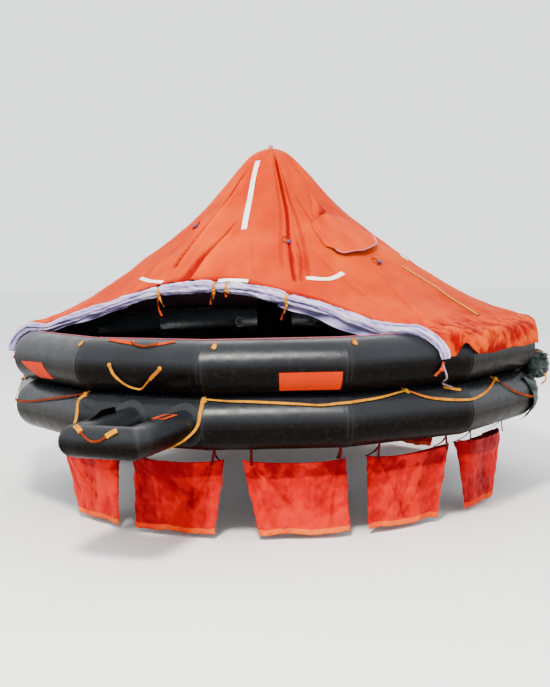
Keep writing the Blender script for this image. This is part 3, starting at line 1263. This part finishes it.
def hidden_fittings():
    """Valves and tow plates with rings, which the photograph doesn't show."""
    for number, (at, turn, tube_z) in enumerate(((120.0, 18.0, LOW_Z), (-112.0, 18.0, LOW_Z), (-84.0, -8.0, HIGH_Z),
                                                 (158.0, -30.0, HIGH_Z))):
        spot, normal = on_tube(tube_z, at, turn, 0.0)
        disc(f"valve_{number + 1}", spot, normal, 0.034, 0.010, COLUMN_RUBBER)
        disc(f"valve_cap_{number + 1}", spot + normal * 0.008, normal, 0.020, 0.014, BLACK_CAP)
    for number, at in enumerate((PHASE + 6 * SIDE_STEP, PHASE + 8 * SIDE_STEP)):
        low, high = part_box(f"tow_patch_{number + 1}")
        middle = (Vector(low) + Vector(high)) / 2
        out = direction(at)
        tab = [middle + out * 0.006 + Vector((0, 0, dz)) for dz in (0.045, 0.02, 0.0, -0.02, -0.045)]
        ribbon(f"tow_tab_{number + 1}", tab, [out] * 5, 0.040, ORANGE_TAPE, 0.004)
        ring = [middle + out * (0.012 + 0.006 * math.cos(t)) + tangent(at) * 0.026 * math.sin(t)
                + Vector((0, 0, 0.026 * math.cos(t) - 0.012)) for t in [2 * math.pi * k / 24 for k in range(24)]]
        round_line(f"tow_ring_{number + 1}", ring, 0.0045, STEEL, 8, closed=True)


def ladder():
    """The webbing ladder at the rear, which hangs from the upper tube's crown."""
    low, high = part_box("rear_ladder")
    out = direction(LADDER_AT)
    half = 0.18
    crown = CROWN + 0.004

    def swing(z):
        return 0.006 * math.sin(9 * z)

    for side in (-1, 1):
        levels = [lerp(high[2], low[2] + 0.02, i / 30) for i in range(31)]
        line = [place(LADDER_AT, crown, z, side * half + swing(z)) for z in levels]
        ribbon(f"ladder_side_{'left' if side < 0 else 'right'}", line, [out] * 31, 0.040, AMBER, 0.004,
               ("rear_ladder",) if side > 0 else ())
    for number in range(5):
        z = lerp(low[2] + 0.03, HIGH_Z + 0.02, number / 4)
        line = [place(LADDER_AT, crown + 0.003, z - 0.012 * (1 - u * u), u * (half + 0.01) + swing(z))
                for u in [i / 8 - 1 for i in range(17)]]
        ribbon(f"ladder_rung_{number + 1}", line, [out] * 17, 0.040, AMBER if number % 2 else ORANGE_TAPE,
               0.006)


# Water pockets

def pocket_creases(rng):
    """Pulls that fan down from the two hangers, and a few loose folds, over a panel 2 wide and 1 high."""
    lines = []
    for side in (-1, 1):
        for _ in range(2):
            start = (side * rng.uniform(0.75, 0.92), rng.uniform(0.0, 0.08))
            end = (side * rng.uniform(-0.5, 0.8), rng.uniform(0.5, 1.0))
            lines.append((start, end, rng.choice((0.008, 0.010, -0.010)), rng.uniform(0.012, 0.030)))
    for _ in range(rng.choice((3, 4))):
        u = rng.uniform(-0.9, 0.9)
        start = (u, rng.uniform(0.10, 0.35))
        end = (u + rng.uniform(-0.25, 0.25), rng.uniform(0.8, 1.05))
        lines.append((start, end, rng.choice((0.008, -0.008, 0.006)), rng.uniform(0.012, 0.026)))
    scale = np.array((POCKET_TOP_HALF, POCKET_TOP_Z - POCKET_FOOT_Z))
    return [(np.array((a, b)) * scale, depth, width * 0.4, width) for a, b, depth, width in lines]


def water_pocket(number, slot, lean, shade, left_cut, right_cut):
    """An open-topped bag of thin cloth that hangs by its two upper corners."""
    rng = random.Random(60 + number)
    at = slot * SIDE_STEP
    lines = pocket_creases(rng)
    columns = 66
    rows = 54
    drop = POCKET_TOP_Z - POCKET_FOOT_Z
    phase = rng.uniform(0, 6)
    u, v = np.meshgrid(np.linspace(-1, 1, columns), np.linspace(0, 1, rows))
    height, tint = crease_field(u * POCKET_TOP_HALF, v * drop, lines)
    crush = crumple(u * POCKET_TOP_HALF, v * drop * 0.6, 70 + number, 6.0, 1.4)
    fine = crumple(u * POCKET_TOP_HALF, v * drop, 90 + number, 22.0, 1.2)
    edge = np.clip((1 - np.abs(u)) / 0.10, 0, 1)
    fan = np.sin(u * 9 + phase + 2.2 * v) * np.sin(2.6 * v + 0.4)
    ripple = 0.006 * fan * v + 0.012 * crush + 0.0018 * fine
    depth = (0.066 * (1 - v) ** 1.3 + 0.014) * np.sqrt(np.clip(1 - np.abs(u) ** 3.0, 0, 1))
    front = (height * 0.6 + ripple) * edge
    back = (-height[:, ::-1] * 0.4 + ripple[:, ::-1]) * edge
    half = POCKET_TOP_HALF - np.where(u < 0, left_cut, right_cut) * v
    ragged = 0.006 * crumple(v * drop, u * 0.02, 80 + number, 18.0) * (np.abs(u) > 0.9)
    along = u * half + ragged * np.sign(u) + lean * (v - 0.3) * 0.06
    sag = 0.014 * (1 - u * u) * (1 - v) ** 4 + 0.010 * lean * u * (1 - v)
    foot = 0.985 + 0.010 * np.sin(u * 5 + phase) + 0.010 * crumple(u * 0.3, v * 0.0, 85 + number, 14.0) * v
    z = POCKET_TOP_Z - sag - drop * v * foot
    sunk = 0.026 * (1 - v) ** 3 * (1 - np.abs(u) ** 4)
    middle = 1.708 + 0.008 * v
    band = smooth_step(0.235, 0.205, v + 0.02 * np.sin(u * 3 + phase))
    ridges = smooth_step(0.10, 0.30, crush) + 0.5 * smooth_step(0.15, 0.30, fine)
    hollows = smooth_step(-0.22, -0.42, crush)
    dim = shade * smooth_step(0.50, 0.42, u)
    deepen = tint * 0.6 + 0.75 * band + 0.35 * hollows + dim - (0.75 - 0.6 * max(0.0, shade)) * ridges - 0.15 * fan
    verts = []
    folds = []
    uvs = []
    for i in range(rows):
        for j in range(columns):
            verts.append(place(at, middle[i, j] + depth[i, j] + front[i, j], z[i, j] + 0.010 * (1 - v[i, j]) ** 3,
                               along[i, j]))
            folds.append(deepen[i, j])
            uvs.append((along[i, j], z[i, j]))
        for j in reversed(range(columns)):
            verts.append(place(at, middle[i, j] - depth[i, j] + back[i, j], z[i, j] - sunk[i, j], along[i, j]))
            folds.append(0.45 + deepen[i, j] * 0.5)
            uvs.append((along[i, j] + 1.0, z[i, j]))
    ring = 2 * columns
    faces = grid_faces(rows, ring, wrap=True)
    hem_row = int(rows * 0.925)
    kinds = [1 if i // ring >= hem_row else 0 for i in range(len(faces))]
    last = (rows - 1) * ring
    for j in range(columns - 1):
        faces.append((last + j, last + j + 1, last + ring - 2 - j, last + ring - 1 - j))
        kinds.append(1)
    node = f"water_pocket_{number:02d}"
    made = add_piece(f"pocket_{number:02d}", verts, faces, [POCKET, POCKET_HEM], (node,),
                     np.clip(folds, -1, 1), uvs, face_material=kinds)
    solidify(made, 0.0012, 0.0)


def hangers():
    """A tape bonded under the lower tube, and straps down to each pocket."""
    steps = 12
    points = []
    for k in range(SIDES):
        for i in range(steps):
            at = PHASE + (k - 0.5 + i / steps) * SIDE_STEP
            points.append(place(at, HANGER_R * side_factor(at), LOW_Z - TUBE_R - 0.003))
    points.append(points[0])
    ribbon("hanger_ring", points, [Vector((0, 0, -1))] * len(points), 0.046, HANGER, 0.004,
           ("pocket_hangers",))
    rng = random.Random(7)
    for number, slot in enumerate(POCKET_SLOTS):
        at = slot * SIDE_STEP
        for k, along in enumerate((-0.275, 0.275)):
            slant = rng.uniform(-0.022, 0.022)
            for pair, reach in enumerate((1.705 + 0.070, 1.705 - 0.070)):
                line = [place(at, lerp(HANGER_R, reach, t ** 2), lerp(LOW_Z - TUBE_R - 0.004, POCKET_TOP_Z - 0.016, t),
                              along - slant * (1 - t)) for t in [i / 8 for i in range(9)]]
                ribbon(f"hanger_{number + 1:02d}_{k + 1}{'ab'[pair]}", line, [direction(at)] * 9, 0.018, HANGER,
                       0.003)


# Gas bottle

def crumpled_tube(name, centre, axis, stations, material, replaces, seed, rough=0.012):
    """A sleeve of crumpled cloth round an axis; stations are (distance, radius)."""
    rng = random.Random(seed)
    axis = axis.normalized()
    up = Vector((0, 0, 1))
    across = axis.cross(up).normalized()
    sides = 56
    waves = [(rng.uniform(2, 9), rng.uniform(8, 45), rng.uniform(0, 6)) for _ in range(9)]
    line = spline([(d, r, 0.0) for d, r in stations], 8)
    verts = []
    folds = []
    for p in line:
        for k in range(sides):
            a = 2 * math.pi * k / sides
            bump = sum(math.sin(round(n) * a + m * p.x + q) for n, m, q in waves) / 4
            reach = p.y * (1 + rough / 0.1 * 0.5 * bump)
            verts.append(centre + axis * p.x + (across * math.cos(a) + up * math.sin(a)) * reach)
            folds.append(-0.9 * bump)
    made = add_piece(name, verts, tube_faces(len(line), sides, False), material, replaces, folds, sharp=60)
    return made


def bottle():
    """The inflation bottle in its grey cloth pouch, with flaps, lashing and a hose."""
    low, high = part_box("gas_bottle")
    centre = (Vector(low) + Vector(high)) / 2
    axis = tangent(BOTTLE_AT)
    radius = (high[2] - low[2]) / 2
    half = 0.32
    body = [(-half, 0.30), (-half + 0.012, 0.62), (-half + 0.05, 0.95), (-half + 0.09, 0.98),
            (half - 0.09, 0.98), (half - 0.05, 0.95), (half - 0.012, 0.62), (half, 0.30)]
    line = [centre + axis * d for d, _ in body]
    round_line("bottle", line, [r * radius for _, r in body], BOTTLE, 40, ("gas_bottle",))
    sleeve = ((-0.345, 0.30), (-0.33, 0.62), (-0.30, 0.95), (-0.25, 1.09), (-0.16, 1.13), (-0.04, 1.10), (0.08, 1.14),
              (0.19, 1.10), (0.26, 1.08), (0.28, 0.95))
    made = crumpled_tube("pouch", centre, axis, [(d, r * radius) for d, r in sleeve], GREY_CLOTH,
                         ("bottle_pouch",), 5)
    out = direction(BOTTLE_AT)
    up = Vector((0, 0, 1))
    ears = (
        ("pouch_ear_top", -0.30, (-0.055, 0.035), (0.020, 0.115), (0.075, 0.100), (0.070, 0.025), 11),
        ("pouch_ear_side", -0.325, (-0.040, 0.045), (0.060, 0.040), (0.050, -0.060), (-0.050, -0.050), 14),
    )
    for name, along, *corners, seed in ears:
        cloth_leaf(name, [centre + axis * along + out * a + up * b for a, b in corners], axis, 0.010, seed)
    corners = []
    for at, turn, lift in ((83.0, 50.0, 0.010), (94.5, 48.0, 0.012), (94.0, -34.0, 0.020), (85.5, -62.0, 0.022)):
        corners.append(on_tube(LOW_Z, at, turn, lift)[0])
    low_leaf(corners)
    for k, along in enumerate((-0.15, 0.02, 0.18)):
        ring = []
        for i in range(37):
            a = 2 * math.pi * i / 36
            spot = centre + axis * (along + 0.004 * math.sin(3 * a))
            ring.append(spot + (out * math.cos(a) + up * math.sin(a)) * radius * 1.20)
        ribbon(f"pouch_lashing_{k + 1}", ring, [p - centre - axis * along for p in ring], 0.018,
               AMBER if k == 1 else RUST_TAPE, 0.003)
    tail = spline([centre + axis * -0.31 + out * 0.045 + up * -0.02, centre + axis * -0.33 + out * 0.062 + up * -0.075,
                   centre + axis * -0.32 + out * 0.030 + up * -0.115], 6)
    round_line("pouch_cord", tail, 0.006, AMBER)
    neck = centre + axis * 0.31
    round_line("bottle_valve", [neck, neck + axis * 0.045], [0.022, 0.018], BRASS, 18)
    hose = spline([neck + axis * 0.03, neck + axis * 0.045 - out * 0.05 + up * 0.02,
                   neck + axis * 0.03 - out * 0.10 + up * 0.04,
                   on_tube(HIGH_Z, BOTTLE_AT + 10.5, -16.0, -0.004)[0]], 8)
    round_line("bottle_hose", hose, 0.010, COLUMN_RUBBER, 12)


def low_leaf(corners):
    """The pouch's lower flap, which lies on the lower tube."""
    a, b, c, d = corners
    rows = 16
    verts = []
    folds = []
    u, v = np.meshgrid(np.linspace(0, 1, rows), np.linspace(0, 1, rows))
    crush = crumple(u * 0.3, v * 0.3, 21, 14.0, 1.4)
    for i in range(rows):
        for j in range(rows):
            flat = a.lerp(b, u[i, j]).lerp(d.lerp(c, u[i, j]), v[i, j])
            at = math.degrees(math.atan2(flat.x, -flat.y))
            turn = math.degrees(math.asin(max(-1.0, min(1.0, flat.z / (TUBE_R + 0.012)))))
            turn = lerp(turn, turn - 4 * crush[i, j], v[i, j])
            verts.append(on_tube(LOW_Z, at, turn, 0.012 + 0.008 * crush[i, j] + 0.010 * v[i, j])[0])
            folds.append(-1.2 * crush[i, j])
    made = add_piece("pouch_flap_low", verts, grid_faces(rows, rows), GREY_CLOTH, folds=folds)
    solidify(made, 0.0022, 0.0)


def cloth_leaf(name, corners, normal, depth, seed):
    """A small crumpled flap between four corners."""
    a, b, c, d = corners
    rows = 16
    u, v = np.meshgrid(np.linspace(0, 1, rows), np.linspace(0, 1, rows))
    crush = crumple(u * 0.3, v * 0.3, seed, 12.0, 1.4)
    edge = crumple(u * 0.2, v * 0.2, seed + 3, 30.0, 1.0) * 0.12
    verts = []
    folds = []
    for i in range(rows):
        for j in range(rows):
            us = min(1.1, max(-0.1, u[i, j] + edge[i, j] * v[i, j]))
            vs = v[i, j] * (1 + edge[i, j])
            verts.append(a.lerp(b, us).lerp(d.lerp(c, us), vs) + normal * crush[i, j] * depth)
            folds.append(-1.2 * crush[i, j])
    made = add_piece(name, verts, grid_faces(rows, rows), GREY_CLOTH, folds=folds)
    solidify(made, 0.0022, 0.0)


# Stage

def camera():
    data = bpy.data.cameras.new("camera")
    data.sensor_width = SENSOR
    data.lens = CAMERA_FOCAL_PX / PHOTO_HIGH * SENSOR
    made = bpy.data.objects.new("camera", data)
    bpy.context.scene.collection.objects.link(made)
    pitch = math.radians(CAMERA_PITCH)
    roll = math.radians(CAMERA_ROLL)
    out = direction(CAMERA_AT)
    ahead = -out * math.cos(pitch) - Vector((0, 0, math.sin(pitch)))
    level = ahead.cross(Vector((0, 0, 1))).normalized()
    above = level.cross(ahead).normalized()
    right = level * math.cos(roll) + above * math.sin(roll)
    up = above * math.cos(roll) - level * math.sin(roll)
    axes = Matrix((right, up, -ahead)).transposed().to_4x4()
    made.matrix_world = Matrix.Translation(out * CAMERA_AWAY + Vector((0, 0, CAMERA_UP))) @ axes
    bpy.context.scene.camera = made


def lights():
    for name, at, rise, size, power, tone in (
        ("key", KEY_AT, KEY_RISE, 1.3, 1350.0, (1.0, 0.965, 0.91)),
        ("back", 200.0, 50.0, 5.0, 260.0, (1.0, 0.98, 0.95)),
    ):
        lamp = bpy.data.lights.new(name, "AREA")
        lamp.shape = "DISK"
        lamp.size = size
        lamp.energy = power
        lamp.color = tone
        made = bpy.data.objects.new(name, lamp)
        bpy.context.scene.collection.objects.link(made)
        e = math.radians(rise)
        made.location = direction(at) * 9.0 * math.cos(e) + Vector((0, 0, 9.0 * math.sin(e)))
        made.rotation_euler = (Vector((0, 0, 0.3)) - made.location).to_track_quat("-Z", "Y").to_euler()
    inside = bpy.data.lights.new("inside", "AREA")
    inside.size = 0.7
    inside.energy = 18.0
    made = bpy.data.objects.new("inside", inside)
    bpy.context.scene.collection.objects.link(made)
    made.location = (-0.25, 0.35, 1.00)
    made.rotation_euler = (Vector((-0.55, 1.7, 0.30)) - made.location).to_track_quat("-Z", "Y").to_euler()
    world = bpy.data.worlds.new("sky")
    bpy.context.scene.world = world
    world.use_nodes = True
    back = world.node_tree.nodes["Background"]
    back.inputs["Color"].default_value = (0.97, 0.985, 1.0, 1.0)
    back.inputs["Strength"].default_value = 2.0


def floor_plane():
    half = 40.0
    look = Look("floor_paper", (0.90, 0.90, 0.89), 0.9)
    look.colour(look.mix(look.spread(look.noise(0.8, 4.0), 0.3, 0.7), (0.90, 0.90, 0.89), (0.86, 0.86, 0.86)))
    mesh = bpy.data.meshes.new("floor_plane")
    corners = [(-half, -half, FLOOR_Z), (half, -half, FLOOR_Z), (half, half, FLOOR_Z), (-half, half, FLOOR_Z)]
    mesh.from_pydata(corners, [], [(0, 1, 2, 3)])
    mesh.materials.append(look.material)
    made = bpy.data.objects.new("floor_plane", mesh)
    bpy.context.scene.collection.objects.link(made)


CAD_LOOKS = {
    "tube_rubber": RUBBER, "floor_rubber": FLOOR_RUBBER, "canopy_cloth": TENT, "pocket_cloth": POCKET,
    "lining_cloth": LILAC, "webbing": AMBER, "pouch_cloth": GREY_CLOTH, "bottle": BOTTLE, "lamp": LAMP,
}


def dress_cad():
    """Gives each CAD node that still shows its material."""
    slots = {s["node"]: s["material_slot"] for s in frame["record"]["subparts"]}
    for name, obj in frame["nodes"].items():
        obj.data.materials.clear()
        obj.data.materials.append(CAD_LOOKS[slots[name]])


camera()
lifeline()
tent()
tent_marks()
hood()
rear_flap()
door_roll()
mitred_tube("tube_low", LOW_Z, "lower_tube")
mitred_tube("tube_high", HIGH_Z, "upper_tube")
column()
ramp()
upper_fittings()
hidden_fittings()
ladder()
for pocket_number, pocket_slot in enumerate(POCKET_SLOTS):
    water_pocket(pocket_number + 1, pocket_slot, *POCKET_HANG[pocket_number % 5])
hangers()
bottle()
dress_cad()
lights()
floor_plane()
